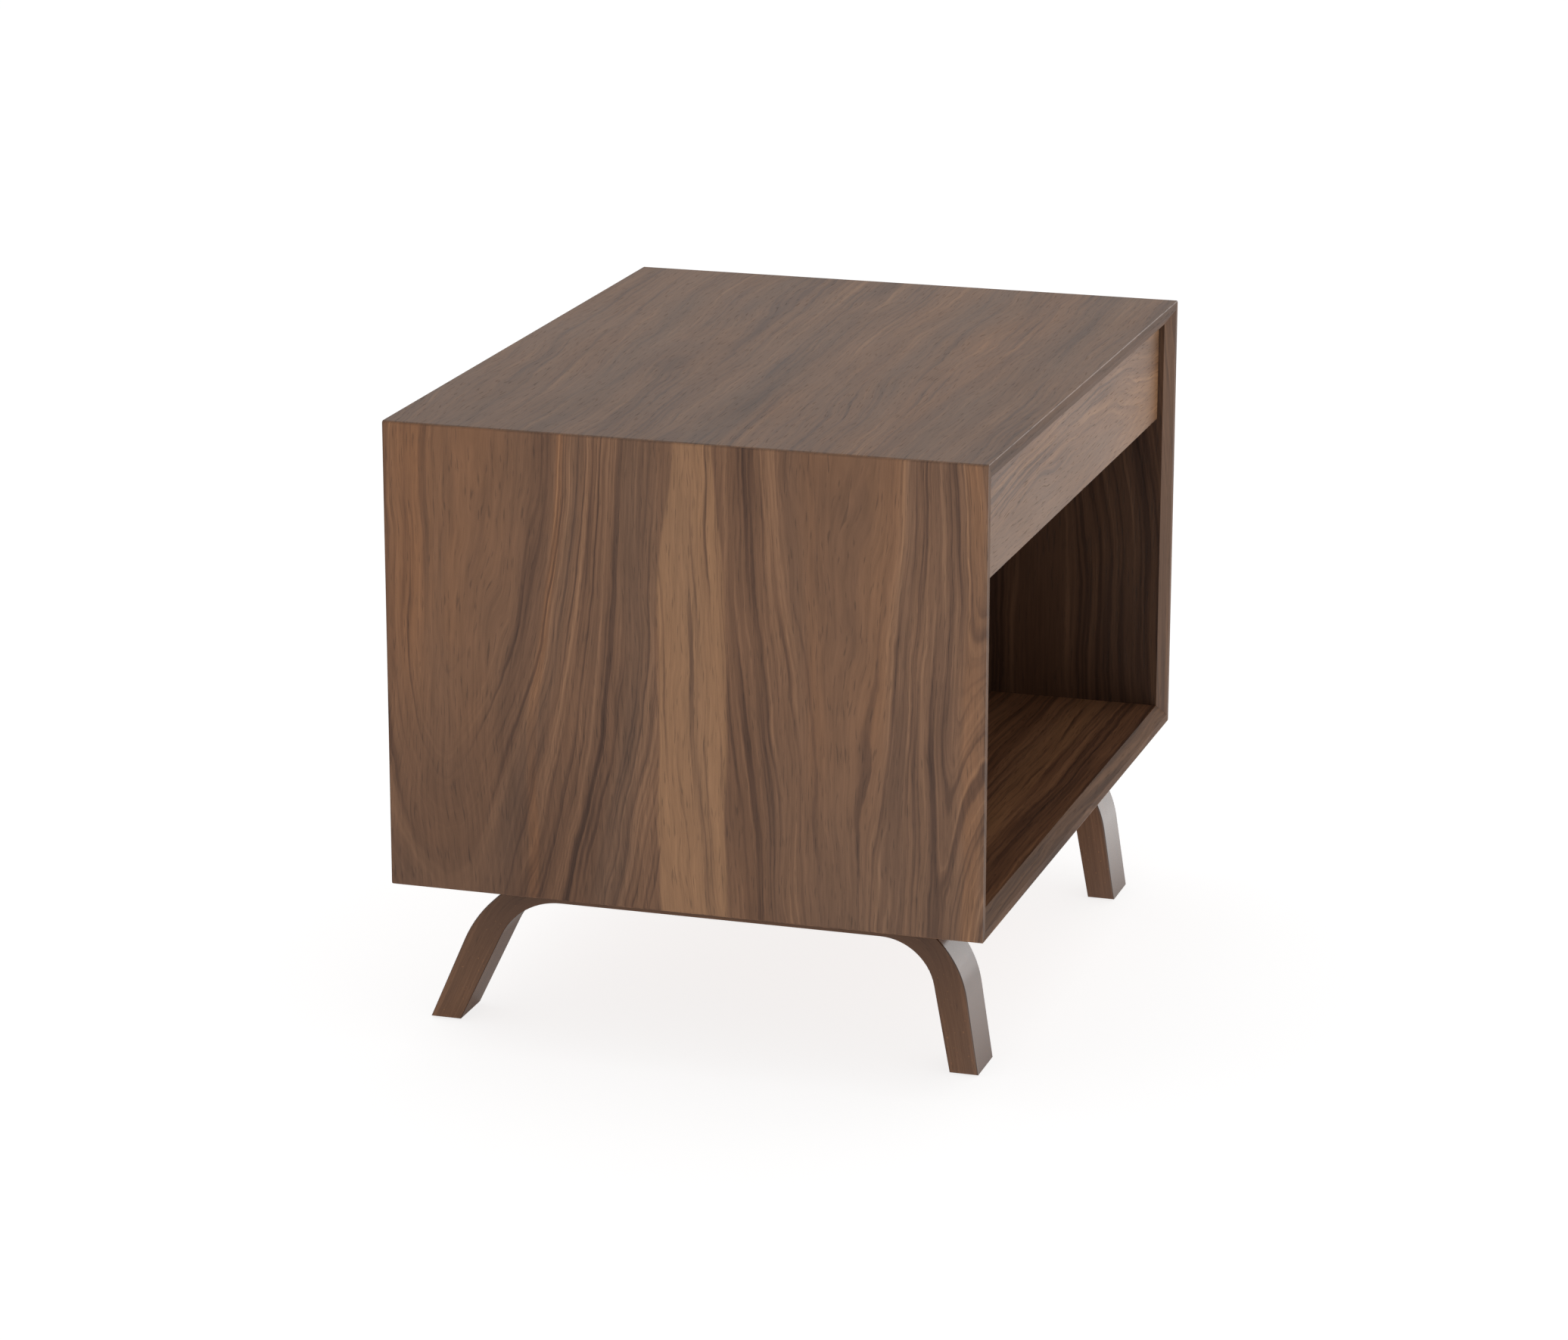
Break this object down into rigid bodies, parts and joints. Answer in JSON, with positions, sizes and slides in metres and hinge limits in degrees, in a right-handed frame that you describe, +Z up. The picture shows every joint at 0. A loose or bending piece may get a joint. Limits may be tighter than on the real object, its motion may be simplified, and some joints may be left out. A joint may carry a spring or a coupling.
{
  "type": "bedside table",
  "caption": "Low walnut bedside table: a mitred box with a handle-less drawer over an open cubby, standing on bent wooden leg frames.",
  "frame": {"origin": "on the floor, under the middle of the box", "axes": "+Z up, the front faces -Y, +X to the right seen from the front"},
  "size_m": [0.56, 0.432, 0.456],
  "materials": {
    "walnut_veneer": "satin lacquered walnut veneer",
    "walnut_bentwood": "satin lacquered bent walnut",
    "walnut_back": "walnut veneered plywood, satin",
    "birch_ply": "clear satin birch plywood",
    "beech_dowel": "bare beech",
    "zinc_steel": "zinc plated, satin",
    "bright_steel": "polished bearing steel",
    "screw_steel": "zinc plated, satin",
    "brass_insert": "plain",
    "dark_nylon": "matte"
  },
  "bodies": {
    "table": {"top_panel": "walnut_veneer", "bottom_panel": "walnut_veneer", "left_side_panel": "walnut_veneer", "right_side_panel": "walnut_veneer", "mitre_splines": "beech_dowel", "divider_panel": "walnut_veneer", "back_panel": "walnut_back", "back_panel_screws": "screw_steel", "left_leg_frame": "walnut_bentwood", "right_leg_frame": "walnut_bentwood", "foot_glides": "dark_nylon", "leg_frame_screws": "screw_steel", "threaded_inserts": "brass_insert", "left_cabinet_rail": "zinc_steel", "right_cabinet_rail": "zinc_steel", "cabinet_rail_screws": "screw_steel", "slide_end_stops": "dark_nylon"},
    "drawer": {"drawer_front": "walnut_veneer", "drawer_inner_front": "birch_ply", "drawer_front_screws": "screw_steel", "drawer_back": "birch_ply", "drawer_left_side": "birch_ply", "drawer_right_side": "birch_ply", "drawer_bottom": "birch_ply", "drawer_dowels": "beech_dowel", "left_drawer_rail": "zinc_steel", "right_drawer_rail": "zinc_steel", "drawer_rail_screws": "screw_steel"},
    "left_middle_rail": {"left_middle_rail": "zinc_steel"},
    "left_outer_ball_cage": {"left_outer_ball_cage": "zinc_steel", "left_outer_balls": "bright_steel"},
    "left_inner_ball_cage": {"left_inner_ball_cage": "zinc_steel", "left_inner_balls": "bright_steel"},
    "right_middle_rail": {"right_middle_rail": "zinc_steel"},
    "right_outer_ball_cage": {"right_outer_ball_cage": "zinc_steel", "right_outer_balls": "bright_steel"},
    "right_inner_ball_cage": {"right_inner_ball_cage": "zinc_steel", "right_inner_balls": "bright_steel"}
  },
  "joints": [
    {"name": "drawer_slide", "type": "slide", "parent": "table", "child": "drawer", "axis": [0, -1, 0], "range_m": [0, 0.34]},
    {"name": "left_middle_rail_slide", "type": "slide", "parent": "table", "child": "left_middle_rail", "axis": [0, -1, 0], "range_m": [0, 0.17]},
    {"name": "left_outer_ball_cage_slide", "type": "slide", "parent": "table", "child": "left_outer_ball_cage", "axis": [0, -1, 0], "range_m": [0, 0.085]},
    {"name": "left_inner_ball_cage_slide", "type": "slide", "parent": "table", "child": "left_inner_ball_cage", "axis": [0, -1, 0], "range_m": [0, 0.255]},
    {"name": "right_middle_rail_slide", "type": "slide", "parent": "table", "child": "right_middle_rail", "axis": [0, -1, 0], "range_m": [0, 0.17]},
    {"name": "right_outer_ball_cage_slide", "type": "slide", "parent": "table", "child": "right_outer_ball_cage", "axis": [0, -1, 0], "range_m": [0, 0.085]},
    {"name": "right_inner_ball_cage_slide", "type": "slide", "parent": "table", "child": "right_inner_ball_cage", "axis": [0, -1, 0], "range_m": [0, 0.255]}
  ],
  "couplings": [
    {"joint": "left_middle_rail_slide", "follows": "drawer_slide", "ratio": 0.5},
    {"joint": "left_outer_ball_cage_slide", "follows": "drawer_slide", "ratio": 0.25},
    {"joint": "left_inner_ball_cage_slide", "follows": "drawer_slide", "ratio": 0.75},
    {"joint": "right_middle_rail_slide", "follows": "drawer_slide", "ratio": 0.5},
    {"joint": "right_outer_ball_cage_slide", "follows": "drawer_slide", "ratio": 0.25},
    {"joint": "right_inner_ball_cage_slide", "follows": "drawer_slide", "ratio": 0.75}
  ]
}
